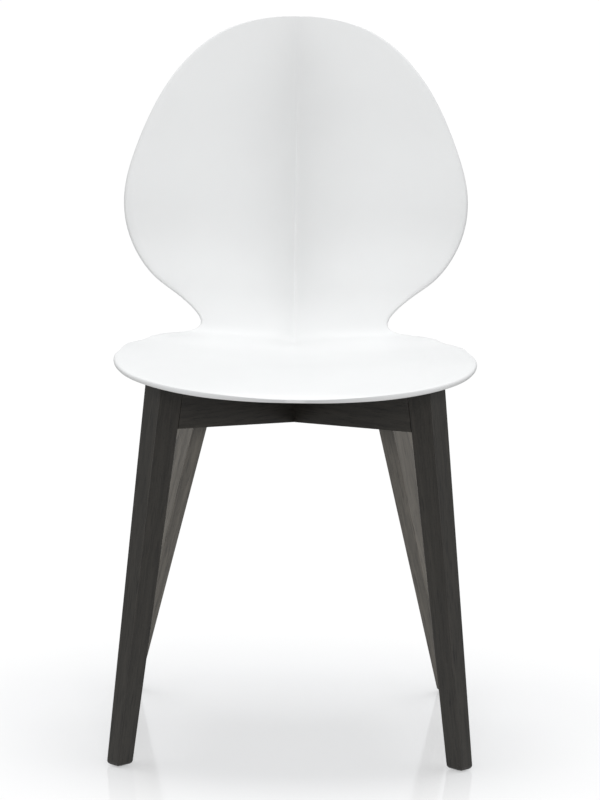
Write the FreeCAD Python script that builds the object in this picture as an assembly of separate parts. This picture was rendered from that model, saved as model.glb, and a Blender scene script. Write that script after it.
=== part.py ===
import FreeCAD, Part
import math
import os

# Dining chair: a one-piece moulded seat shell on a crossed-rail hardwood base.
# Millimetres. +Z is up, the sitter faces -Y, and the origin is on the floor,
# below the middle of the whole chair. The pieces are drawn about the point where
# the two rails cross, and centred() moves them all back together at the end.

Vector = FreeCAD.Vector

# Driving dimensions of the seat shell
SEAT_HEIGHT = 452.5          # top of the seat at its widest place
BACK_HEIGHT = 844.0          # top of the backrest above the floor
SEAT_HALF_WIDTH = 211.0
NECK_HALF_WIDTH = 115.0      # the waist between the seat and the backrest
BACK_HALF_WIDTH = 212.5
SHELL_THICKNESS = 6.5
CREASE_DEPTH = 44.0          # how far the middle fold of the backrest is set back
CREASE_SPREAD = 40.0         # sideways distance over which the fold dies away
CREASE_ROUNDING = 1.0

# Driving dimensions of the base
RAIL_BELOW_SEAT = 18.5       # from the top of the seat down to the top of the rails
LEG_ABOVE_RAIL = 6.0
RAIL_END_DEPTH = 47.0
RAIL_MIDDLE_DEPTH = 59.0
LEG_TOP_WIDTH = 37.0         # measured along the diagonal
LEG_FOOT_WIDTH = 24.0
LEG_TOP_THICKNESS = 26.5     # measured across the diagonal
LEG_FOOT_THICKNESS = 19.0
LEG_EDGE_ROUNDING = 1.2
LEG_FOOT_ROUNDING = 5.0
FRONT_LEG_TOP_RADIUS = 231.0     # outer edge from the crossing, along the diagonal
FRONT_LEG_FOOT_RADIUS = 290.0
REAR_LEG_TOP_RADIUS = 167.0
REAR_LEG_FOOT_RADIUS = 299.0
RAIL_THICKNESS = 26.0
RAIL_TOP_HEIGHT = SEAT_HEIGHT - RAIL_BELOW_SEAT
RAIL_END_UNDERSIDE = RAIL_TOP_HEIGHT - RAIL_END_DEPTH
RAIL_MIDDLE_UNDERSIDE = RAIL_TOP_HEIGHT - RAIL_MIDDLE_DEPTH
LEG_TOP_HEIGHT = RAIL_TOP_HEIGHT + LEG_ABOVE_RAIL
LAP_CLEARANCE = 0.1              # each side of the half-lap joint
GLUE_LINE = 0.05                 # between a rail's end and its leg

# Dowels that hold each leg to its rail
DOWEL_DIAMETER = 8.0
DOWEL_LENGTH = 36.0
DOWEL_IN_LEG = 16.0
DOWEL_SPACING = 22.0
DOWEL_CLEARANCE = 0.05           # on the radius
DOWEL_END_GAP = 1.0

# Fixings that hold the shell on the rails
FRONT_FIXING_RADIUS = 140.0      # from the crossing, along the diagonal
REAR_FIXING_RADIUS = 88.0
BOSS_DIAMETER = 22.0
INSERT_DIAMETER = 9.0
INSERT_LENGTH = 9.0
INSERT_CLEARANCE = 0.05
SCREW_DIAMETER = 6.0
SCREW_CLEARANCE = 0.05           # thread inside its insert, on the radius
SCREW_ENGAGEMENT = 8.0
SCREW_HEAD_DIAMETER = 10.0
SCREW_HEAD_HEIGHT = 5.0
SCREW_SOCKET = 4.0               # across the hexagon's corners
SCREW_SOCKET_DEPTH = 2.5
WASHER_DIAMETER = 13.0
WASHER_THICKNESS = 1.2
WASHER_CLEARANCE = 0.2
CLAMPED_WOOD = 28.0              # rail left above the screw's counterbore
RAIL_HOLE_CLEARANCE = 0.4
COUNTERBORE_CLEARANCE = 1.0

# Glides let into the feet
GLIDE_DIAMETER = 8.0
GLIDE_THICKNESS = 2.5
GLIDE_PROUD = 0.8            # how far they stand out of the feet
GLIDE_CLEARANCE = 0.1        # on the radius
GLIDE_EDGE_ROUNDING = 0.4
NAIL_DIAMETER = 2.4
NAIL_LENGTH = 15.0
NAIL_HEAD_DIAMETER = 4.0
NAIL_HEAD_THICKNESS = 1.0
NAIL_CLEARANCE = 0.05

# The shell's stations, front lip first: where its middle line runs, how wide it
# is there, how far its edges rise above the middle, and how deep the fold is.
# Seat rows: y, height against SEAT_HEIGHT, share of SEAT_HALF_WIDTH, edge rise,
# share of CREASE_DEPTH.
SEAT_STATIONS = (
    (-243.0, -16.5, 0.0, 0.0, 0.0),
    (-240.0, -14.0, 0.35, 1.0, 0.0),
    (-221.5, -8.5, 0.706, 4.0, 0.0),
    (-178.0, -3.0, 0.917, 6.5, 0.0),
    (-110.0, 0.0, 1.0, 11.0, 0.0),
    (-25.0, -1.5, 0.983, 12.0, 0.0),
    (48.0, -3.0, 0.943, 11.0, 0.0),
    (98.0, -3.0, 0.858, 10.0, 0.02),
    (133.0, 1.5, 0.79, 6.0, 0.16),
)
NECK_Y = 157.0
NECK_RISE = 19.5
NECK_EDGE = 1.0
NECK_FOLD = 0.48
# Back rows: y, share of the way from the seat to the top, share of
# BACK_HALF_WIDTH, edge rise, share of CREASE_DEPTH.
BACK_STATIONS = (
    (168.0, 0.116, 0.64, 0.5, 0.8),
    (176.5, 0.185, 0.816, 4.0, 0.95),
    (189.0, 0.275, 0.94, 8.0, 1.0),
    (199.0, 0.428, 1.0, 10.0, 1.0),
    (211.0, 0.586, 0.934, 9.0, 0.88),
    (228.0, 0.798, 0.744, 5.0, 0.5),
    (247.0, 0.954, 0.433, 2.0, 0.12),
    (254.0, 1.0, 0.0, 0.0, 0.0),
)
SHELL_SECTIONS = 44              # cross-sections lofted from the lip to the top
SECTION_POINTS = 13              # points from the middle of a section to its rim

LEGS = (
    ("front_left", -135.0, True),
    ("front_right", -45.0, True),
    ("rear_right", 45.0, False),
    ("rear_left", 135.0, False),
)


def solve_spline(knots, values, clamped):
    """Slopes of the cubic through the values; its ends are flat or straight."""
    count = len(knots)
    lower = [0.0] * count
    middle = [1.0] * count
    upper = [0.0] * count
    right = [0.0] * count
    for i in range(1, count - 1):
        before = knots[i] - knots[i - 1]
        after = knots[i + 1] - knots[i]
        lower[i] = after
        middle[i] = 2.0 * (before + after)
        upper[i] = before
        rise_before = (values[i] - values[i - 1]) / before
        rise_after = (values[i + 1] - values[i]) / after
        right[i] = 3.0 * (after * rise_before + before * rise_after)
    if not clamped:
        middle[0] = middle[-1] = 2.0
        upper[0] = lower[-1] = 1.0
        right[0] = 3.0 * (values[1] - values[0]) / (knots[1] - knots[0])
        right[-1] = 3.0 * (values[-1] - values[-2]) / (knots[-1] - knots[-2])
    for i in range(1, count):
        factor = lower[i] / middle[i - 1]
        middle[i] -= factor * upper[i - 1]
        right[i] -= factor * right[i - 1]
    slopes = [0.0] * count
    slopes[-1] = right[-1] / middle[-1]
    for i in range(count - 2, -1, -1):
        slopes[i] = (right[i] - upper[i] * slopes[i + 1]) / middle[i]
    return slopes


class Spline:
    """A smooth function through (knot, value) pairs."""

    def __init__(self, knots, values, clamped):
        self.knots = knots
        self.values = values
        self.slopes = solve_spline(knots, values, clamped)

    def span(self, u):
        i = 0
        while i < len(self.knots) - 2 and u > self.knots[i + 1]:
            i += 1
        width = self.knots[i + 1] - self.knots[i]
        return i, width, (u - self.knots[i]) / width

    def value(self, u):
        i, width, t = self.span(u)
        start = (2 * t ** 3 - 3 * t ** 2 + 1) * self.values[i]
        end = (3 * t ** 2 - 2 * t ** 3) * self.values[i + 1]
        slope_start = (t ** 3 - 2 * t ** 2 + t) * width * self.slopes[i]
        slope_end = (t ** 3 - t ** 2) * width * self.slopes[i + 1]
        return start + end + slope_start + slope_end

    def slope(self, u):
        i, width, t = self.span(u)
        across = 6 * (t ** 2 - t) * (self.values[i] - self.values[i + 1]) / width
        slope_start = (3 * t ** 2 - 4 * t + 1) * self.slopes[i]
        slope_end = (3 * t ** 2 - 2 * t) * self.slopes[i + 1]
        return across + slope_start + slope_end


class SeatForm:
    """The shell's shape: a point for each place along it and across it."""

    def __init__(self):
        rows = []
        for y, drop, share, rise, fold in SEAT_STATIONS:
            rows.append((y, SEAT_HEIGHT + drop, share * SEAT_HALF_WIDTH, rise, fold))
        rows.append((NECK_Y, SEAT_HEIGHT + NECK_RISE, NECK_HALF_WIDTH, NECK_EDGE, NECK_FOLD))
        for y, height, share, rise, fold in BACK_STATIONS:
            z = SEAT_HEIGHT + height * (BACK_HEIGHT - SEAT_HEIGHT)
            rows.append((y, z, share * BACK_HALF_WIDTH, rise, fold))
        knots = [0.0]
        for a, b in zip(rows, rows[1:]):
            knots.append(knots[-1] + math.dist(a[:3], b[:3]))
        knots = [knot / knots[-1] for knot in knots]
        columns = list(zip(*rows))
        self.y = Spline(knots, columns[0], True)
        self.z = Spline(knots, columns[1], True)
        self.half_width = Spline(knots, columns[2], False)
        self.rise = Spline(knots, columns[3], True)
        self.fold = Spline(knots, columns[4], True)

    def normal(self, u):
        along = Vector(0, self.y.slope(u), self.z.slope(u)).normalize()
        return Vector(0, -along.z, along.y)

    def point(self, u, x, depth):
        """The point at sideways distance x and that depth below the top face."""
        half_width = self.half_width.value(u)
        rise = self.rise.value(u) * (x / half_width) ** 2
        reach = math.hypot(x, CREASE_ROUNDING) - CREASE_ROUNDING
        fold = self.fold.value(u) * CREASE_DEPTH * math.exp(-reach / CREASE_SPREAD)
        middle = Vector(x, self.y.value(u), self.z.value(u))
        return middle + self.normal(u) * (rise - fold - depth)


def face_curve(points):
    curve = Part.BSplineCurve()
    last = len(points) - 1
    curve.interpolate(Points=points, Parameters=[i / last for i in range(last + 1)])
    return curve.toShape()


def shell_section(form, u):
    """A closed wire: the top face's halves, a rim, the bottom's halves, a rim."""
    radius = SHELL_THICKNESS / 2
    flat = form.half_width.value(u) - radius
    steps = [i / (SECTION_POINTS - 1) for i in range(SECTION_POINTS)]
    right = [step ** 1.5 * flat for step in steps]
    left = [-x for x in reversed(right)]
    top_left = [form.point(u, x, 0) for x in left]
    top_right = [form.point(u, x, 0) for x in right]
    bottom_right = [form.point(u, x, SHELL_THICKNESS) for x in reversed(right)]
    bottom_left = [form.point(u, x, SHELL_THICKNESS) for x in reversed(left)]
    right_rim = form.point(u, flat, radius) + Vector(radius, 0, 0)
    left_rim = form.point(u, -flat, radius) - Vector(radius, 0, 0)
    return Part.Wire([
        face_curve(top_left),
        face_curve(top_right),
        Part.Arc(top_right[-1], right_rim, bottom_right[0]).toShape(),
        face_curve(bottom_right),
        face_curve(bottom_left),
        Part.Arc(bottom_left[-1], left_rim, top_left[0]).toShape(),
    ])


def moulded_body(form):
    """The shell itself, lofted from the front lip up to the top of the back."""
    first = 0.012
    sections = []
    for i in range(SHELL_SECTIONS):
        u = first + (1 - 2 * first) * i / (SHELL_SECTIONS - 1)
        sections.append(shell_section(form, u))
    return Part.makeLoft(sections, True, False)


def fixing_places():
    """Where the seat's four screws stand on the rails, in plan."""
    places = []
    for name, angle, is_front in LEGS:
        radius = FRONT_FIXING_RADIUS if is_front else REAR_FIXING_RADIUS
        turn = math.radians(angle)
        places.append((name, Vector(radius * math.cos(turn), radius * math.sin(turn), 0)))
    return places


def seat_surface_height(form, place):
    """Height of the seat's top face above a point in plan."""
    low, high = 0.0, 0.5
    while high - low > 1e-6:
        middle = (low + high) / 2
        if form.point(middle, place.x, 0).y < place.y:
            low = middle
        else:
            high = middle
    return form.point(low, place.x, 0).z


def cylinder(diameter, length, base):
    return Part.makeCylinder(diameter / 2, length, base)


def seat_shell():
    form = SeatForm()
    shell = moulded_body(form)
    for name, place in fixing_places():
        base = place + Vector(0, 0, RAIL_TOP_HEIGHT)
        top = seat_surface_height(form, place) - SHELL_THICKNESS / 2
        shell = shell.fuse(cylinder(BOSS_DIAMETER, top - base.z, base))
    bore = INSERT_DIAMETER + 2 * INSERT_CLEARANCE
    for name, place in fixing_places():
        base = place + Vector(0, 0, RAIL_TOP_HEIGHT - 1)
        shell = shell.cut(cylinder(bore, INSERT_LENGTH + 2, base))
    return shell


def insert(place):
    """Brass bush moulded into a boss; the seat screw goes up into it."""
    base = place + Vector(0, 0, RAIL_TOP_HEIGHT)
    body = cylinder(INSERT_DIAMETER, INSERT_LENGTH, base)
    hole = SCREW_DIAMETER + 2 * SCREW_CLEARANCE
    return body.cut(cylinder(hole, INSERT_LENGTH, base))


def washer(place):
    base = place + Vector(0, 0, RAIL_TOP_HEIGHT - CLAMPED_WOOD - WASHER_THICKNESS)
    body = cylinder(WASHER_DIAMETER, WASHER_THICKNESS, base)
    return body.cut(cylinder(SCREW_DIAMETER + 2 * WASHER_CLEARANCE, WASHER_THICKNESS, base))


def seat_screw(place):
    """Socket screw, head down in the rail's counterbore."""
    under_head = RAIL_TOP_HEIGHT - CLAMPED_WOOD - WASHER_THICKNESS
    shank = RAIL_TOP_HEIGHT + SCREW_ENGAGEMENT - under_head
    head_base = place + Vector(0, 0, under_head - SCREW_HEAD_HEIGHT)
    screw = cylinder(SCREW_DIAMETER, shank, place + Vector(0, 0, under_head))
    screw = screw.fuse(cylinder(SCREW_HEAD_DIAMETER, SCREW_HEAD_HEIGHT, head_base))
    corners = []
    for i in range(7):
        turn = math.radians(60 * i)
        across = Vector(math.cos(turn), math.sin(turn), 0) * (SCREW_SOCKET / 2)
        corners.append(head_base + across)
    socket = Part.Face(Part.makePolygon(corners)).extrude(Vector(0, 0, SCREW_SOCKET_DEPTH))
    return screw.cut(socket)


# Everything in the base is drawn in its own diagonal plane: X runs from the
# crossing out along the diagonal and Y runs across it. turned() swings it round.

def turned(shape, angle):
    placed = shape.copy()
    placed.rotate(Vector(0, 0, 0), Vector(0, 0, 1), angle)
    return placed


def leg_radii(is_front):
    if is_front:
        return FRONT_LEG_TOP_RADIUS, FRONT_LEG_FOOT_RADIUS
    return REAR_LEG_TOP_RADIUS, REAR_LEG_FOOT_RADIUS


def leg_inner_edge(is_front, z):
    """Distance from the crossing to the leg's inner face at height z."""
    top_radius, foot_radius = leg_radii(is_front)
    top = top_radius - LEG_TOP_WIDTH
    foot = foot_radius - LEG_FOOT_WIDTH
    share = (z - GLIDE_PROUD) / (LEG_TOP_HEIGHT - GLIDE_PROUD)
    return foot + (top - foot) * share


def foot_centre(is_front):
    top_radius, foot_radius = leg_radii(is_front)
    return foot_radius - LEG_FOOT_WIDTH / 2


def dowel_heights():
    middle = (RAIL_END_UNDERSIDE + RAIL_TOP_HEIGHT) / 2
    return (middle - DOWEL_SPACING / 2, middle + DOWEL_SPACING / 2)


def dowel_holes(is_front):
    """Both dowel holes of one joint, running into leg and rail."""
    holes = []
    for z in dowel_heights():
        start = leg_inner_edge(is_front, z) + DOWEL_IN_LEG + DOWEL_END_GAP
        length = DOWEL_LENGTH + 2 * DOWEL_END_GAP
        radius = DOWEL_DIAMETER / 2 + DOWEL_CLEARANCE
        holes.append(Part.makeCylinder(radius, length, Vector(start, 0, z), Vector(-1, 0, 0)))
    return holes


def leg(is_front):
    """A tapered board, splayed outwards, drilled for its dowels, glide and nail."""
    top_radius, foot_radius = leg_radii(is_front)
    foot_half = LEG_FOOT_THICKNESS / 2
    top_half = LEG_TOP_THICKNESS / 2
    body = Part.makeWedge(
        foot_radius - LEG_FOOT_WIDTH, GLIDE_PROUD, -foot_half, -top_half, top_radius - LEG_TOP_WIDTH,
        foot_radius, LEG_TOP_HEIGHT, foot_half, top_half, top_radius)
    body.rotate(Vector(0, 0, 0), Vector(1, 0, 0), 90)
    foot_edges = [edge for edge in body.Edges if edge.BoundBox.ZMax < GLIDE_PROUD + 1]
    body = body.makeFillet(LEG_FOOT_ROUNDING, foot_edges)
    long_edges = [edge for edge in body.Edges if edge.BoundBox.ZMax > LEG_TOP_HEIGHT - 1]
    body = body.makeFillet(LEG_EDGE_ROUNDING, long_edges)
    for hole in dowel_holes(is_front):
        body = body.cut(hole)
    foot_base = Vector(foot_centre(is_front), 0, 0)
    body = body.cut(cylinder(GLIDE_DIAMETER + 2 * GLIDE_CLEARANCE, GLIDE_THICKNESS, foot_base))
    return body.cut(cylinder(NAIL_DIAMETER + 2 * NAIL_CLEARANCE, NAIL_LENGTH + 1, foot_base))


def dowels(is_front):
    pins = []
    for z in dowel_heights():
        start = leg_inner_edge(is_front, z) + DOWEL_IN_LEG
        pins.append(Part.makeCylinder(DOWEL_DIAMETER / 2, DOWEL_LENGTH,
                                      Vector(start, 0, z), Vector(-1, 0, 0)))
    return Part.Compound(pins)


def rail(lap_on_top):
    """A rail from its rear leg (+X) to its front leg (-X), deeper at the middle."""
    ends = []
    for is_front in (False, True):
        side = -1 if is_front else 1
        low = leg_inner_edge(is_front, RAIL_END_UNDERSIDE) - GLUE_LINE
        high = leg_inner_edge(is_front, RAIL_TOP_HEIGHT) - GLUE_LINE
        ends.append((side * low, side * high))
    (rear_low, rear_high), (front_low, front_high) = ends
    half = RAIL_THICKNESS / 2
    outline = [
        Vector(rear_low, -half, RAIL_END_UNDERSIDE),
        Vector(rear_high, -half, RAIL_TOP_HEIGHT),
        Vector(front_high, -half, RAIL_TOP_HEIGHT),
        Vector(front_low, -half, RAIL_END_UNDERSIDE),
        Vector(0, -half, RAIL_MIDDLE_UNDERSIDE),
        Vector(rear_low, -half, RAIL_END_UNDERSIDE),
    ]
    body = Part.Face(Part.makePolygon(outline)).extrude(Vector(0, RAIL_THICKNESS, 0))
    lap_height = (RAIL_TOP_HEIGHT + RAIL_MIDDLE_UNDERSIDE) / 2
    lap_width = RAIL_THICKNESS + 2 * LAP_CLEARANCE
    depth = RAIL_TOP_HEIGHT - lap_height + 1
    base = lap_height if lap_on_top else lap_height - depth
    notch = Part.makeBox(lap_width, RAIL_THICKNESS + 2, depth,
                         Vector(-lap_width / 2, -half - 1, base))
    body = body.cut(notch)
    for is_front in (False, True):
        side = -1 if is_front else 1
        radius = FRONT_FIXING_RADIUS if is_front else REAR_FIXING_RADIUS
        centre = Vector(side * radius, 0, RAIL_MIDDLE_UNDERSIDE - 1)
        hole = SCREW_DIAMETER + 2 * RAIL_HOLE_CLEARANCE
        body = body.cut(cylinder(hole, RAIL_TOP_HEIGHT - RAIL_MIDDLE_UNDERSIDE + 2, centre))
        counterbore = WASHER_DIAMETER + 2 * COUNTERBORE_CLEARANCE
        depth = RAIL_TOP_HEIGHT - CLAMPED_WOOD - centre.z
        body = body.cut(cylinder(counterbore, depth, centre))
        for drilled in dowel_holes(is_front):
            body = body.cut(turned(drilled, 180) if is_front else drilled)
    return body


def glide(is_front):
    """Nylon pad let into a foot, recessed for the head of its nail."""
    base = Vector(foot_centre(is_front), 0, 0)
    pad = cylinder(GLIDE_DIAMETER, GLIDE_THICKNESS, base)
    pad = pad.makeFillet(GLIDE_EDGE_ROUNDING, [edge for edge in pad.Edges if edge.BoundBox.ZMax < 0.1])
    pad = pad.cut(cylinder(NAIL_HEAD_DIAMETER + 2 * NAIL_CLEARANCE,
                           NAIL_HEAD_THICKNESS + NAIL_CLEARANCE, base))
    return pad.cut(cylinder(NAIL_DIAMETER + 2 * NAIL_CLEARANCE, GLIDE_THICKNESS, base))


def glide_nail(is_front):
    head = NAIL_HEAD_THICKNESS / 2
    base = Vector(foot_centre(is_front), 0, head)
    nail = cylinder(NAIL_HEAD_DIAMETER, head, base)
    return nail.fuse(cylinder(NAIL_DIAMETER, NAIL_LENGTH - head, base))


def build():
    parts = {"seat_shell": seat_shell()}
    parts["rail_front_left_to_rear_right"] = turned(rail(True), 45)
    parts["rail_front_right_to_rear_left"] = turned(rail(False), 135)
    for name, angle, is_front in LEGS:
        parts[name + "_leg"] = turned(leg(is_front), angle)
        parts[name + "_dowels"] = turned(dowels(is_front), angle)
        parts[name + "_glide"] = turned(glide(is_front), angle)
        parts[name + "_glide_nail"] = turned(glide_nail(is_front), angle)
    for name, place in fixing_places():
        parts[name + "_threaded_insert"] = insert(place)
        parts[name + "_seat_washer"] = washer(place)
        parts[name + "_seat_screw"] = seat_screw(place)
    return parts


def centred(parts):
    """The same parts, moved so that the chair's overall depth has its middle at Y = 0."""
    front = min(shape.optimalBoundingBox().YMin for shape in parts.values())
    rear = max(shape.optimalBoundingBox().YMax for shape in parts.values())
    shift = Vector(0, -(front + rear) / 2, 0)
    return {name: shape.translated(shift) for name, shape in parts.items()}


os.makedirs("parts", exist_ok=True)
for node, shape in centred(build()).items():
    shape.exportStep("parts/" + node + ".step")
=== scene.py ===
import math
import bmesh
import bpy
from mathutils import Matrix, Vector


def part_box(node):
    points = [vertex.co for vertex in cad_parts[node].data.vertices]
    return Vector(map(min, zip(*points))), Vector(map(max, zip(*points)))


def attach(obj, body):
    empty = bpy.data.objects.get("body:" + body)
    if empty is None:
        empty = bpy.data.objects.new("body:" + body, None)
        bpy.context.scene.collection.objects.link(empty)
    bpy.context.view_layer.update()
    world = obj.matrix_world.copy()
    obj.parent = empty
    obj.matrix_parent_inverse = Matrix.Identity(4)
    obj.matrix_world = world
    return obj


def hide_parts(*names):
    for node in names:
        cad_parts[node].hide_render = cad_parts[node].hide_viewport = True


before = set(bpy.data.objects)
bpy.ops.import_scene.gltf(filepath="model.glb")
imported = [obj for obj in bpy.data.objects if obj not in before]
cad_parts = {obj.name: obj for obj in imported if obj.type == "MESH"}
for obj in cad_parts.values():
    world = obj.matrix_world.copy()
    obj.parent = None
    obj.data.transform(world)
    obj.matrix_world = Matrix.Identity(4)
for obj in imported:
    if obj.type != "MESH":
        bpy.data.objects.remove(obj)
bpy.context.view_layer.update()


# ---------------------------------------------------------------------------
# Seat shell. One moulding in white polypropylene: an oval seat, a narrow waist
# and a leaf-shaped back with a soft fold down its middle. It is moulded in one
# shot, with a fine satin grain from the mould and a rounded rim all round.
# ---------------------------------------------------------------------------

def cubic_slopes(knots, values, clamped):
    """Slopes of the cubic through the values; its ends are flat or straight."""
    count = len(knots)
    lower = [0.0] * count
    middle = [1.0] * count
    upper = [0.0] * count
    right = [0.0] * count
    for i in range(1, count - 1):
        before = knots[i] - knots[i - 1]
        after = knots[i + 1] - knots[i]
        lower[i] = after
        middle[i] = 2.0 * (before + after)
        upper[i] = before
        rise_before = (values[i] - values[i - 1]) / before
        rise_after = (values[i + 1] - values[i]) / after
        right[i] = 3.0 * (after * rise_before + before * rise_after)
    if not clamped:
        middle[0] = middle[-1] = 2.0
        upper[0] = lower[-1] = 1.0
        right[0] = 3.0 * (values[1] - values[0]) / (knots[1] - knots[0])
        right[-1] = 3.0 * (values[-1] - values[-2]) / (knots[-1] - knots[-2])
    for i in range(1, count):
        factor = lower[i] / middle[i - 1]
        middle[i] -= factor * upper[i - 1]
        right[i] -= factor * right[i - 1]
    slopes = [0.0] * count
    slopes[-1] = right[-1] / middle[-1]
    for i in range(count - 2, -1, -1):
        slopes[i] = (right[i] - upper[i] * slopes[i + 1]) / middle[i]
    return slopes


class Spline:
    """A smooth function through (knot, value) pairs."""

    def __init__(self, knots, values, clamped):
        self.knots = knots
        self.values = values
        self.slopes = cubic_slopes(knots, values, clamped)

    def span(self, u):
        i = 0
        while i < len(self.knots) - 2 and u > self.knots[i + 1]:
            i += 1
        width = self.knots[i + 1] - self.knots[i]
        return i, width, (u - self.knots[i]) / width

    def value(self, u):
        i, width, t = self.span(u)
        start = (2 * t ** 3 - 3 * t ** 2 + 1) * self.values[i]
        end = (3 * t ** 2 - 2 * t ** 3) * self.values[i + 1]
        slope_start = (t ** 3 - 2 * t ** 2 + t) * width * self.slopes[i]
        slope_end = (t ** 3 - t ** 2) * width * self.slopes[i + 1]
        return start + end + slope_start + slope_end

    def slope(self, u):
        i, width, t = self.span(u)
        across = 6 * (t ** 2 - t) * (self.values[i] - self.values[i + 1]) / width
        slope_start = (3 * t ** 2 - 4 * t + 1) * self.slopes[i]
        slope_end = (3 * t ** 2 - 2 * t) * self.slopes[i + 1]
        return across + slope_start + slope_end


SEAT_HEIGHT = 0.4525
BACK_HEIGHT = 0.844
SEAT_HALF_WIDTH = 0.211
NECK_HALF_WIDTH = 0.115
BACK_HALF_WIDTH = 0.2125
SHELL_THICKNESS = 0.0065
FOLD_DEPTH = 0.044
FOLD_SPREAD = 0.040
FOLD_ROUNDING = 0.001
# Seat rows, from the front lip: y, height against SEAT_HEIGHT, share of
# SEAT_HALF_WIDTH, edge rise, share of FOLD_DEPTH.
SEAT_ROWS = (
    (-0.2430, -0.0165, 0.0, 0.0, 0.0),
    (-0.2400, -0.0140, 0.35, 0.001, 0.0),
    (-0.2215, -0.0085, 0.706, 0.004, 0.0),
    (-0.1780, -0.0030, 0.917, 0.0065, 0.0),
    (-0.1100, 0.0, 1.0, 0.011, 0.0),
    (-0.0250, -0.0015, 0.983, 0.012, 0.0),
    (0.0480, -0.0030, 0.943, 0.011, 0.0),
    (0.0980, -0.0030, 0.858, 0.010, 0.02),
    (0.1330, 0.0015, 0.79, 0.006, 0.16),
)
NECK_Y = 0.157
NECK_RISE = 0.0195
NECK_EDGE = 0.001
NECK_FOLD = 0.48
# Back rows: y, share of the way from the seat to the top, share of
# BACK_HALF_WIDTH, edge rise, share of FOLD_DEPTH.
BACK_ROWS = (
    (0.1680, 0.116, 0.64, 0.0005, 0.8),
    (0.1765, 0.185, 0.816, 0.004, 0.95),
    (0.1890, 0.275, 0.94, 0.008, 1.0),
    (0.1990, 0.428, 1.0, 0.010, 1.0),
    (0.2110, 0.586, 0.934, 0.009, 0.88),
    (0.2280, 0.798, 0.744, 0.005, 0.5),
    (0.2470, 0.954, 0.433, 0.002, 0.12),
    (0.2540, 1.0, 0.0, 0.0, 0.0),
)
ROWS_ALONG = 150
END_INSET = 0.012            # share of the length left off at each tip
POINTS_ACROSS = 61
MIDDLE_CROWDING = 1.4        # above 1, the points crowd in towards the fold
RIM_POINTS = 5
ON_CENTRE_LINE = 1e-6


def shell_stations():
    """Along the middle line: y, z, half width, edge rise and fold at each station."""
    stations = []
    for y, height, share, rise, fold in SEAT_ROWS:
        stations.append((y, SEAT_HEIGHT + height, share * SEAT_HALF_WIDTH, rise, fold))
    stations.append((NECK_Y, SEAT_HEIGHT + NECK_RISE, NECK_HALF_WIDTH, NECK_EDGE, NECK_FOLD))
    for y, way_up, share, rise, fold in BACK_ROWS:
        height = SEAT_HEIGHT + way_up * (BACK_HEIGHT - SEAT_HEIGHT)
        stations.append((y, height, share * BACK_HALF_WIDTH, rise, fold))
    return stations


def shell_splines():
    stations = shell_stations()
    knots = [0.0]
    for a, b in zip(stations, stations[1:]):
        knots.append(knots[-1] + math.dist(a[:3], b[:3]))
    knots = [knot / knots[-1] for knot in knots]
    clamped = (True, True, False, True, True)
    return [Spline(knots, column, flat) for column, flat in zip(zip(*stations), clamped)]


def shell_point(splines, u, x, depth):
    """The point at sideways distance x and that depth below the top face."""
    y, z, half_width, rise, fold = splines
    along = Vector((0, y.slope(u), z.slope(u))).normalized()
    normal = Vector((0, -along.z, along.y))
    lift = rise.value(u) * (x / half_width.value(u)) ** 2
    reach = math.hypot(x, FOLD_ROUNDING) - FOLD_ROUNDING
    set_back = fold.value(u) * FOLD_DEPTH * math.exp(-reach / FOLD_SPREAD)
    return Vector((x, y.value(u), z.value(u))) + normal * (lift - set_back - depth)


def shell_ring(splines, u):
    """One closed section: top face, rounded rim, bottom face, rounded rim."""
    radius = SHELL_THICKNESS / 2
    flat = splines[2].value(u) - radius
    steps = [2 * i / (POINTS_ACROSS - 1) - 1 for i in range(POINTS_ACROSS)]
    places = [math.copysign(abs(t) ** MIDDLE_CROWDING, t) * flat for t in steps]
    ring = [shell_point(splines, u, x, 0) for x in places]
    for side in (1, -1):
        for i in range(1, RIM_POINTS + 1):
            turn = math.pi * i / (RIM_POINTS + 1)
            x = side * flat
            depth = radius * (1 - math.cos(turn) * side)
            point = shell_point(splines, u, x, depth)
            ring.append(point + Vector((side * radius * math.sin(turn), 0, 0)))
        if side == 1:
            ring += [shell_point(splines, u, x, SHELL_THICKNESS) for x in reversed(places)]
    return ring


def stand_in_frame(mesh):
    """Moves the mesh along Y so that its front lip is where the frame has it."""
    lip = min(vertex.co.y for vertex in mesh.verts)
    shift = Vector((0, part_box("seat_shell")[0][1] - lip, 0))
    bmesh.ops.translate(mesh, verts=mesh.verts, vec=shift)
    return shift


def new_piece(name, mesh):
    piece = bpy.data.objects.new(name, mesh)
    bpy.context.scene.collection.objects.link(piece)
    return piece


def shell_mesh():
    splines = shell_splines()
    mesh = bmesh.new()
    rows = []
    for i in range(ROWS_ALONG):
        u = END_INSET + (1 - 2 * END_INSET) * i / (ROWS_ALONG - 1)
        rows.append([mesh.verts.new(point) for point in shell_ring(splines, u)])
    for a, b in zip(rows, rows[1:]):
        for i in range(len(a)):
            j = (i + 1) % len(a)
            mesh.faces.new((a[i], a[j], b[j], b[i]))
    mesh.faces.new(rows[0])
    mesh.faces.new(list(reversed(rows[-1])))
    bmesh.ops.recalc_face_normals(mesh, faces=mesh.faces)
    shift = stand_in_frame(mesh)
    data = bpy.data.meshes.new("seat_shell_moulding")
    mesh.to_mesh(data)
    mesh.free()
    for face in data.polygons:
        face.use_smooth = True
    for edge in data.edges:
        ends = [data.vertices[i].co for i in edge.vertices]
        edge.use_edge_sharp = all(abs(end.x) < ON_CENTRE_LINE for end in ends)
    return data, shift


def node_material(name):
    material = bpy.data.materials.new(name)
    material.use_nodes = True
    return material, material.node_tree.nodes, material.node_tree.links


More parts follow.
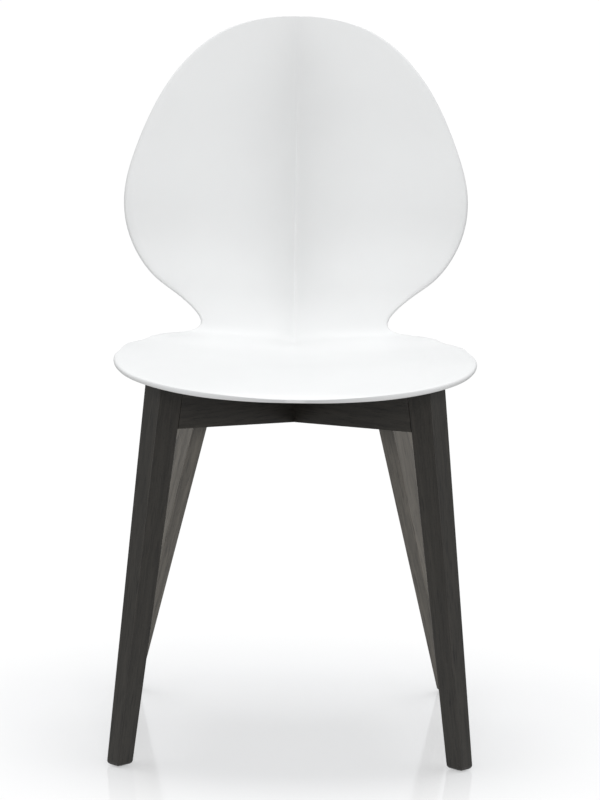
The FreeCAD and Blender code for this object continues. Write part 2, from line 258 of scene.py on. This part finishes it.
def moulded_grain_group():
    """Fine mould grain: a roughness value, a colour shade and a bumped normal."""
    group = bpy.data.node_groups.new("moulded_grain", "ShaderNodeTree")
    for label in ("Scale", "Roughness", "Bump"):
        group.interface.new_socket(label, in_out="INPUT", socket_type="NodeSocketFloat")
    group.interface.new_socket("Roughness", in_out="OUTPUT", socket_type="NodeSocketFloat")
    group.interface.new_socket("Shade", in_out="OUTPUT", socket_type="NodeSocketFloat")
    group.interface.new_socket("Normal", in_out="OUTPUT", socket_type="NodeSocketVector")
    nodes, links = group.nodes, group.links
    inputs = nodes.new("NodeGroupInput")
    outputs = nodes.new("NodeGroupOutput")
    place = nodes.new("ShaderNodeTexCoord")
    grain = nodes.new("ShaderNodeTexNoise")
    grain.inputs["Detail"].default_value = 3.0
    links.new(place.outputs["Object"], grain.inputs["Vector"])
    links.new(inputs.outputs["Scale"], grain.inputs["Scale"])
    flow = nodes.new("ShaderNodeTexNoise")
    flow.inputs["Scale"].default_value = 7.0
    flow.inputs["Detail"].default_value = 4.0
    links.new(place.outputs["Object"], flow.inputs["Vector"])
    spread = nodes.new("ShaderNodeMapRange")
    spread.inputs["To Min"].default_value = -0.05
    spread.inputs["To Max"].default_value = 0.05
    links.new(flow.outputs["Fac"], spread.inputs["Value"])
    rough = nodes.new("ShaderNodeMath")
    links.new(inputs.outputs["Roughness"], rough.inputs[0])
    links.new(spread.outputs["Result"], rough.inputs[1])
    bump = nodes.new("ShaderNodeBump")
    bump.inputs["Distance"].default_value = 0.0002
    links.new(grain.outputs["Fac"], bump.inputs["Height"])
    links.new(inputs.outputs["Bump"], bump.inputs["Strength"])
    links.new(rough.outputs[0], outputs.inputs["Roughness"])
    links.new(flow.outputs["Fac"], outputs.inputs["Shade"])
    links.new(bump.outputs["Normal"], outputs.inputs["Normal"])
    return group


MOULDED_GRAIN = moulded_grain_group()


def moulded_plastic(name, light, dark, roughness, grain_scale, bump):
    """Satin moulded plastic, its colour wandering very slightly over the part."""
    material, nodes, links = node_material(name)
    surface = nodes["Principled BSDF"]
    grain = nodes.new("ShaderNodeGroup")
    grain.node_tree = MOULDED_GRAIN
    grain.inputs["Scale"].default_value = grain_scale
    grain.inputs["Roughness"].default_value = roughness
    grain.inputs["Bump"].default_value = bump
    shade = nodes.new("ShaderNodeValToRGB")
    shade.color_ramp.elements[0].position = 0.35
    shade.color_ramp.elements[0].color = dark
    shade.color_ramp.elements[1].position = 0.65
    shade.color_ramp.elements[1].color = light
    links.new(grain.outputs["Shade"], shade.inputs["Fac"])
    links.new(shade.outputs["Color"], surface.inputs["Base Color"])
    links.new(grain.outputs["Roughness"], surface.inputs["Roughness"])
    links.new(grain.outputs["Normal"], surface.inputs["Normal"])
    return material


shell_material = moulded_plastic(
    "white_polypropylene", (0.80, 0.803, 0.80, 1), (0.78, 0.783, 0.78, 1), 0.5, 900.0, 0.1)
shell_data, shell_shift = shell_mesh()
shell = new_piece("seat_shell_moulding", shell_data)
shell.data.materials.append(shell_material)
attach(shell, "root")


def turned_mesh(name, profile, centre, segments):
    """The profile of (radius, height) pairs, turned about an upright axis."""
    mesh = bmesh.new()
    rings = []
    for i in range(segments):
        turn = 2 * math.pi * i / segments
        rings.append([mesh.verts.new(centre + Vector((r * math.cos(turn), r * math.sin(turn), z)))
                      for r, z in profile])
    for i in range(segments):
        a, b = rings[i], rings[(i + 1) % segments]
        for j in range(len(profile) - 1):
            mesh.faces.new((a[j], b[j], b[j + 1], a[j + 1]))
    mesh.faces.new([ring[0] for ring in rings])
    mesh.faces.new([ring[-1] for ring in reversed(rings)])
    bmesh.ops.remove_doubles(mesh, verts=mesh.verts, dist=1e-6)
    bmesh.ops.recalc_face_normals(mesh, faces=mesh.faces)
    data = bpy.data.meshes.new(name)
    mesh.to_mesh(data)
    mesh.free()
    for face in data.polygons:
        face.use_smooth = len(face.vertices) == 4
    return data


BOSS_RADIUS = 0.011
BOSS_FLARE = 0.004           # where the boss spreads into the seat
BOSS_MOUTH = 0.0008          # rounding of the open end
BOSS_SEGMENTS = 48
MOUTH_STEPS = 4
FLARE_STEPS = 6
INSERT_FIT = 0.00005         # on the radius


def boss_mesh(bottom, top, bore, centre):
    """A turned boss: blind bore, rounded mouth and a flared foot at the seat."""
    profile = [(bore, top - BOSS_FLARE), (bore, bottom + BOSS_MOUTH), (bore + BOSS_MOUTH, bottom)]
    for i in range(MOUTH_STEPS + 1):
        turn = math.pi / 2 * i / MOUTH_STEPS
        profile.append((BOSS_RADIUS - BOSS_MOUTH * (1 - math.sin(turn)),
                        bottom + BOSS_MOUTH * (1 - math.cos(turn))))
    for i in range(FLARE_STEPS + 1):
        turn = math.pi / 2 * i / FLARE_STEPS
        profile.append((BOSS_RADIUS + BOSS_FLARE * (1 - math.cos(turn)),
                        top - BOSS_FLARE * (1 - math.sin(turn))))
    return turned_mesh("boss", profile, centre, BOSS_SEGMENTS)


CORNERS = ("front_left", "front_right", "rear_left", "rear_right")
SEAT_SHARE = 0.5             # the seat lies within this share of the shell's length
NEAR_ENOUGH = 1e-9


def seat_height_at(x, y):
    """Height of the seat's top face above a point in plan."""
    splines = shell_splines()
    low, high = 0.0, SEAT_SHARE
    while high - low > NEAR_ENOUGH:
        middle = (low + high) / 2
        if shell_point(splines, middle, x, 0).y < y:
            low = middle
        else:
            high = middle
    return shell_point(splines, low, x, 0).z


for corner in CORNERS:
    low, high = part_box(corner + "_threaded_insert")
    x, y = (low[0] + high[0]) / 2, (low[1] + high[1]) / 2
    top = seat_height_at(x, y - shell_shift.y) - SHELL_THICKNESS / 2
    bore = (high[0] - low[0]) / 2 + INSERT_FIT
    boss = new_piece(corner + "_boss", boss_mesh(low[2], top, bore, Vector((x, y, 0))))
    boss.data.materials.append(shell_material)
    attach(boss, "root")
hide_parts("seat_shell")


# ---------------------------------------------------------------------------
# Rails and legs. Beech boards, sawn and planed, stained a very dark brown and
# sprayed with satin lacquer. The rails are halved over each other at the
# crossing, and each leg is dowelled and glued to a rail's end.
# ---------------------------------------------------------------------------

def wood_grain_group():
    """Long grain along local Z: colour mask, roughness and bumped normal."""
    group = bpy.data.node_groups.new("wood_grain", "ShaderNodeTree")
    group.interface.new_socket("Place", in_out="INPUT", socket_type="NodeSocketVector")
    group.interface.new_socket("Roughness", in_out="INPUT", socket_type="NodeSocketFloat")
    group.interface.new_socket("Bump", in_out="INPUT", socket_type="NodeSocketFloat")
    group.interface.new_socket("Figure", in_out="OUTPUT", socket_type="NodeSocketFloat")
    group.interface.new_socket("Pores", in_out="OUTPUT", socket_type="NodeSocketFloat")
    group.interface.new_socket("Roughness", in_out="OUTPUT", socket_type="NodeSocketFloat")
    group.interface.new_socket("Normal", in_out="OUTPUT", socket_type="NodeSocketVector")
    nodes, links = group.nodes, group.links
    inputs = nodes.new("NodeGroupInput")
    outputs = nodes.new("NodeGroupOutput")
    long_scale = nodes.new("ShaderNodeMapping")
    long_scale.inputs["Scale"].default_value = (1.0, 1.0, 0.045)
    links.new(inputs.outputs["Place"], long_scale.inputs["Vector"])
    figure = nodes.new("ShaderNodeTexNoise")
    figure.inputs["Scale"].default_value = 150.0
    figure.inputs["Detail"].default_value = 6.0
    figure.inputs["Roughness"].default_value = 0.6
    figure.inputs["Distortion"].default_value = 0.4
    links.new(long_scale.outputs["Vector"], figure.inputs["Vector"])
    pores = nodes.new("ShaderNodeTexNoise")
    pores.inputs["Scale"].default_value = 900.0
    pores.inputs["Detail"].default_value = 3.0
    links.new(long_scale.outputs["Vector"], pores.inputs["Vector"])
    cut = nodes.new("ShaderNodeMapRange")
    cut.inputs["From Min"].default_value = 0.52
    cut.inputs["From Max"].default_value = 0.68
    links.new(pores.outputs["Fac"], cut.inputs["Value"])
    spread = nodes.new("ShaderNodeMapRange")
    spread.inputs["To Min"].default_value = -0.07
    spread.inputs["To Max"].default_value = 0.09
    links.new(figure.outputs["Fac"], spread.inputs["Value"])
    rough = nodes.new("ShaderNodeMath")
    links.new(inputs.outputs["Roughness"], rough.inputs[0])
    links.new(spread.outputs["Result"], rough.inputs[1])
    height = nodes.new("ShaderNodeMath")
    height.operation = "SUBTRACT"
    links.new(figure.outputs["Fac"], height.inputs[0])
    links.new(cut.outputs["Result"], height.inputs[1])
    bump = nodes.new("ShaderNodeBump")
    bump.inputs["Distance"].default_value = 0.0002
    links.new(height.outputs[0], bump.inputs["Height"])
    links.new(inputs.outputs["Bump"], bump.inputs["Strength"])
    links.new(figure.outputs["Fac"], outputs.inputs["Figure"])
    links.new(cut.outputs["Result"], outputs.inputs["Pores"])
    links.new(rough.outputs[0], outputs.inputs["Roughness"])
    links.new(bump.outputs["Normal"], outputs.inputs["Normal"])
    return group


WOOD_GRAIN = wood_grain_group()


def wood_material(name, along, offset, shades, roughness, bump):
    """Wood whose grain runs along a direction; shades are dark, light and pore."""
    material, nodes, links = node_material(name)
    surface = nodes["Principled BSDF"]
    place = nodes.new("ShaderNodeTexCoord")
    turn = nodes.new("ShaderNodeMapping")
    turn.vector_type = "TEXTURE"
    turn.inputs["Location"].default_value = offset
    turn.inputs["Rotation"].default_value = Vector((0, 0, 1)).rotation_difference(along).to_euler()
    links.new(place.outputs["Object"], turn.inputs["Vector"])
    grain = nodes.new("ShaderNodeGroup")
    grain.node_tree = WOOD_GRAIN
    grain.inputs["Roughness"].default_value = roughness
    grain.inputs["Bump"].default_value = bump
    links.new(turn.outputs["Vector"], grain.inputs["Place"])
    figure = nodes.new("ShaderNodeValToRGB")
    figure.color_ramp.elements[0].position = 0.3
    figure.color_ramp.elements[0].color = shades[0]
    figure.color_ramp.elements[1].position = 0.72
    figure.color_ramp.elements[1].color = shades[1]
    links.new(grain.outputs["Figure"], figure.inputs["Fac"])
    darken = nodes.new("ShaderNodeMix")
    darken.data_type = "RGBA"
    darken.inputs[7].default_value = shades[2]
    links.new(grain.outputs["Pores"], darken.inputs["Factor"])
    links.new(figure.outputs["Color"], darken.inputs[6])
    links.new(darken.outputs[2], surface.inputs["Base Color"])
    links.new(grain.outputs["Roughness"], surface.inputs["Roughness"])
    links.new(grain.outputs["Normal"], surface.inputs["Normal"])
    return material


STAINED = ((0.0165, 0.0145, 0.0115, 1), (0.036, 0.032, 0.026, 1), (0.008, 0.007, 0.0057, 1))
END_ZONE = 0.03              # length of leg looked at near each end


def leg_direction(name):
    """From the leg's top to its foot, through the middles of its ends."""
    points = [Vector(v.co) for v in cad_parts[name].data.vertices]
    top = max(p.z for p in points)
    foot = min(p.z for p in points)
    high = [p for p in points if p.z > top - END_ZONE]
    low = [p for p in points if p.z < foot + END_ZONE]
    middle_high = sum(high, Vector()) / len(high)
    middle_low = sum(low, Vector()) / len(low)
    return (middle_low - middle_high).normalized()


def dress(name, material):
    """Gives a CAD piece its material."""
    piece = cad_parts[name]
    piece.data.materials.clear()
    piece.data.materials.append(material)
    return piece


for number, corner in enumerate(CORNERS):
    node = corner + "_leg"
    offset = (0.13 * number, 0.07 * number, 0.31 * number)
    dress(node, wood_material(
        corner + "_leg_stained_beech", leg_direction(node), offset, STAINED, 0.42, 0.25))

EASED_EDGE = 0.0008
RAILS = {
    "rail_front_left_to_rear_right": Vector((1, 1, 0)).normalized(),
    "rail_front_right_to_rear_left": Vector((-1, 1, 0)).normalized(),
}
for number, (node, along) in enumerate(RAILS.items()):
    rail = dress(node, wood_material(
        node + "_stained_beech", along, (0.5 + 0.2 * number, 0.1, 0.4), STAINED, 0.42, 0.25))
    ease = rail.modifiers.new("eased_edges", "BEVEL")
    ease.width = EASED_EDGE
    ease.segments = 2
    ease.limit_method = "ANGLE"
    ease.angle_limit = math.radians(50)


# ---------------------------------------------------------------------------
# Dowels. Plain turned beech pins, unstained, glued into matching holes in the
# leg and in the rail's end, two to a joint.
# ---------------------------------------------------------------------------

BARE = ((0.42, 0.27, 0.15, 1), (0.62, 0.44, 0.27, 1), (0.30, 0.18, 0.09, 1))
for corner in CORNERS:
    across = Vector((1 if "right" in corner else -1, 1 if "rear" in corner else -1, 0)).normalized()
    dress(corner + "_dowels", wood_material(
        corner + "_dowel_beech", across, (0.0, 0.2, 0.0), BARE, 0.6, 0.3))


# ---------------------------------------------------------------------------
# Seat fixings. Zinc-plated socket screws with washers go up through the rails
# into turned brass inserts set in the shell's bosses.
# ---------------------------------------------------------------------------

def turning_streaks_group():
    """Fine streaks left by the tool: a colour mask, roughness and bumped normal."""
    group = bpy.data.node_groups.new("turning_streaks", "ShaderNodeTree")
    for label in ("Scale", "Roughness", "Bump"):
        group.interface.new_socket(label, in_out="INPUT", socket_type="NodeSocketFloat")
    group.interface.new_socket("Streaks", in_out="OUTPUT", socket_type="NodeSocketFloat")
    group.interface.new_socket("Roughness", in_out="OUTPUT", socket_type="NodeSocketFloat")
    group.interface.new_socket("Normal", in_out="OUTPUT", socket_type="NodeSocketVector")
    nodes, links = group.nodes, group.links
    inputs = nodes.new("NodeGroupInput")
    outputs = nodes.new("NodeGroupOutput")
    place = nodes.new("ShaderNodeTexCoord")
    stretch = nodes.new("ShaderNodeMapping")
    stretch.inputs["Scale"].default_value = (1.0, 1.0, 9.0)
    links.new(place.outputs["Object"], stretch.inputs["Vector"])
    streaks = nodes.new("ShaderNodeTexNoise")
    streaks.inputs["Detail"].default_value = 5.0
    links.new(stretch.outputs["Vector"], streaks.inputs["Vector"])
    links.new(inputs.outputs["Scale"], streaks.inputs["Scale"])
    spread = nodes.new("ShaderNodeMapRange")
    spread.inputs["To Min"].default_value = -0.08
    spread.inputs["To Max"].default_value = 0.12
    links.new(streaks.outputs["Fac"], spread.inputs["Value"])
    rough = nodes.new("ShaderNodeMath")
    links.new(inputs.outputs["Roughness"], rough.inputs[0])
    links.new(spread.outputs["Result"], rough.inputs[1])
    bump = nodes.new("ShaderNodeBump")
    bump.inputs["Distance"].default_value = 0.0001
    links.new(streaks.outputs["Fac"], bump.inputs["Height"])
    links.new(inputs.outputs["Bump"], bump.inputs["Strength"])
    links.new(streaks.outputs["Fac"], outputs.inputs["Streaks"])
    links.new(rough.outputs[0], outputs.inputs["Roughness"])
    links.new(bump.outputs["Normal"], outputs.inputs["Normal"])
    return group


TURNING_STREAKS = turning_streaks_group()


def metal_material(name, light, dark, roughness, scale):
    """Plated or turned metal, a little lighter and duller along its streaks."""
    material, nodes, links = node_material(name)
    surface = nodes["Principled BSDF"]
    surface.inputs["Metallic"].default_value = 1.0
    streaks = nodes.new("ShaderNodeGroup")
    streaks.node_tree = TURNING_STREAKS
    streaks.inputs["Scale"].default_value = scale
    streaks.inputs["Roughness"].default_value = roughness
    streaks.inputs["Bump"].default_value = 0.15
    shade = nodes.new("ShaderNodeValToRGB")
    shade.color_ramp.elements[0].position = 0.3
    shade.color_ramp.elements[0].color = dark
    shade.color_ramp.elements[1].position = 0.7
    shade.color_ramp.elements[1].color = light
    links.new(streaks.outputs["Streaks"], shade.inputs["Fac"])
    links.new(shade.outputs["Color"], surface.inputs["Base Color"])
    links.new(streaks.outputs["Roughness"], surface.inputs["Roughness"])
    links.new(streaks.outputs["Normal"], surface.inputs["Normal"])
    return material


zinc = metal_material("zinc_plate", (0.68, 0.69, 0.70, 1), (0.52, 0.53, 0.55, 1), 0.33, 420.0)
brass = metal_material("turned_brass", (0.80, 0.62, 0.30, 1), (0.62, 0.45, 0.19, 1), 0.30, 500.0)
for corner in CORNERS:
    dress(corner + "_seat_screw", zinc)
    dress(corner + "_seat_washer", zinc)
    dress(corner + "_threaded_insert", brass)


# ---------------------------------------------------------------------------
# Glides. Black nylon pads let into the feet, each held by a steel nail whose
# head is sunk in the pad.
# ---------------------------------------------------------------------------

nylon = moulded_plastic(
    "black_nylon", (0.030, 0.030, 0.031, 1), (0.022, 0.022, 0.023, 1), 0.5, 1500.0, 0.3)
for corner in CORNERS:
    dress(corner + "_glide", nylon)
    dress(corner + "_glide_nail", zinc)


# ---------------------------------------------------------------------------
# Studio. A pale glossy floor that runs out to white, soft light all round, from
# above and in front, with two lamps kept for the rear legs alone. The camera
# faces the chair from a little above the top of its back.
# ---------------------------------------------------------------------------

FLOOR_HALF_SIZE = 30.0
FLOOR_SEEN_GLOW = 1.02
FLOOR_CAST_GLOW = 0.45
FADE_START = 0.25            # distance from the chair's middle
FADE_END = 0.63


def studio_floor():
    """Glossy near the chair, turning into plain glowing white further out."""
    mesh = bmesh.new()
    bmesh.ops.create_grid(mesh, x_segments=40, y_segments=40, size=FLOOR_HALF_SIZE)
    data = bpy.data.meshes.new("studio_floor")
    mesh.to_mesh(data)
    mesh.free()
    floor = new_piece("studio_floor", data)
    material, nodes, links = node_material("floor_gloss")
    surface = nodes["Principled BSDF"]
    surface.inputs["Base Color"].default_value = (0.93, 0.93, 0.935, 1)
    surface.inputs["Roughness"].default_value = 0.1
    glow = nodes.new("ShaderNodeEmission")
    glow.inputs["Color"].default_value = (1, 1, 1, 1)
    place = nodes.new("ShaderNodeTexCoord")
    away = nodes.new("ShaderNodeVectorMath")
    away.operation = "LENGTH"
    links.new(place.outputs["Object"], away.inputs[0])
    ray = nodes.new("ShaderNodeLightPath")
    strength = nodes.new("ShaderNodeMapRange")
    strength.inputs["To Min"].default_value = FLOOR_CAST_GLOW
    strength.inputs["To Max"].default_value = FLOOR_SEEN_GLOW
    links.new(ray.outputs["Is Camera Ray"], strength.inputs["Value"])
    links.new(strength.outputs["Result"], glow.inputs["Strength"])
    fade = nodes.new("ShaderNodeMapRange")
    fade.interpolation_type = "SMOOTHSTEP"
    fade.inputs["To Min"].default_value = 0.35
    fade.inputs["From Min"].default_value = FADE_START
    fade.inputs["From Max"].default_value = FADE_END
    links.new(away.outputs["Value"], fade.inputs["Value"])
    either = nodes.new("ShaderNodeMixShader")
    links.new(fade.outputs["Result"], either.inputs["Fac"])
    links.new(surface.outputs["BSDF"], either.inputs[1])
    links.new(glow.outputs["Emission"], either.inputs[2])
    links.new(either.outputs["Shader"], nodes["Material Output"].inputs["Surface"])
    data.materials.append(material)


def soft_box(name, place, target, width, height, power):
    """A rectangular lamp of that size and wattage, turned towards the target."""
    lamp = bpy.data.lights.new(name, "AREA")
    lamp.shape = "RECTANGLE"
    lamp.size = width
    lamp.size_y = height
    lamp.energy = power
    light = bpy.data.objects.new(name, lamp)
    light.location = place
    direction = Vector(target) - Vector(place)
    light.rotation_euler = direction.to_track_quat("-Z", "Y").to_euler()
    bpy.context.scene.collection.objects.link(light)
    return light


def white_surroundings(light_strength):
    """White all round: bright to the camera, softer as a light."""
    world = bpy.data.worlds.new("studio_white")
    world.use_nodes = True
    nodes, links = world.node_tree.nodes, world.node_tree.links
    lighting = nodes["Background"]
    lighting.inputs["Color"].default_value = (0.97, 0.985, 1, 1)
    lighting.inputs["Strength"].default_value = light_strength
    seen = nodes.new("ShaderNodeBackground")
    seen.inputs["Color"].default_value = (1, 1, 1, 1)
    seen.inputs["Strength"].default_value = 1.1
    ray = nodes.new("ShaderNodeLightPath")
    either = nodes.new("ShaderNodeMixShader")
    links.new(ray.outputs["Is Camera Ray"], either.inputs["Fac"])
    links.new(lighting.outputs["Background"], either.inputs[1])
    links.new(seen.outputs["Background"], either.inputs[2])
    links.new(either.outputs["Shader"], nodes["World Output"].inputs["Surface"])
    bpy.context.scene.world = world


def light_only(lamp, names):
    """The lamp lights these CAD pieces and nothing else."""
    lit = bpy.data.collections.new(lamp.name + "_lights")
    for name in names:
        lit.objects.link(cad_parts[name])
    lamp.light_linking.receiver_collection = lit


studio_floor()
soft_box("overhead", (0.0, 0.9, 6.0), (0, 0, 0.3), 3.2, 2.6, 156.0)
soft_box("front_fill", (0.0, -4.6, 2.1), (0, 0, 0.6), 1.6, 1.0, 71.0)
rear_legs = ("rear_left_leg", "rear_right_leg")
for name, side in (("rear_leg_fill_left", -2.6), ("rear_leg_fill_right", 2.6)):
    light_only(soft_box(name, (side, -1.8, 0.9), (0, 0.2, 0.25), 0.8, 0.8, 240.0), rear_legs)
white_surroundings(0.65)
bpy.context.scene.view_settings.view_transform = "Standard"

CAMERA_DISTANCE = 4.300
CAMERA_HEIGHT = 1.050
CAMERA_SIDE = -0.032
CAMERA_TILT = 8.6
CAMERA_TURN = -0.52
CAMERA_ROLL = 0.9
camera_data = bpy.data.cameras.new("camera")
camera_data.sensor_fit = "VERTICAL"
camera_data.sensor_height = 24.0
camera_data.lens = 109.4
camera = bpy.data.objects.new("camera", camera_data)
turn = Matrix.Rotation(math.radians(CAMERA_TURN), 4, "Z")
tilt = Matrix.Rotation(math.radians(90 - CAMERA_TILT), 4, "X")
roll = Matrix.Rotation(math.radians(CAMERA_ROLL), 4, "Z")
place = Matrix.Translation((CAMERA_SIDE, shell_shift.y - CAMERA_DISTANCE, CAMERA_HEIGHT))
camera.matrix_world = place @ turn @ tilt @ roll
bpy.context.scene.collection.objects.link(camera)
bpy.context.scene.camera = camera
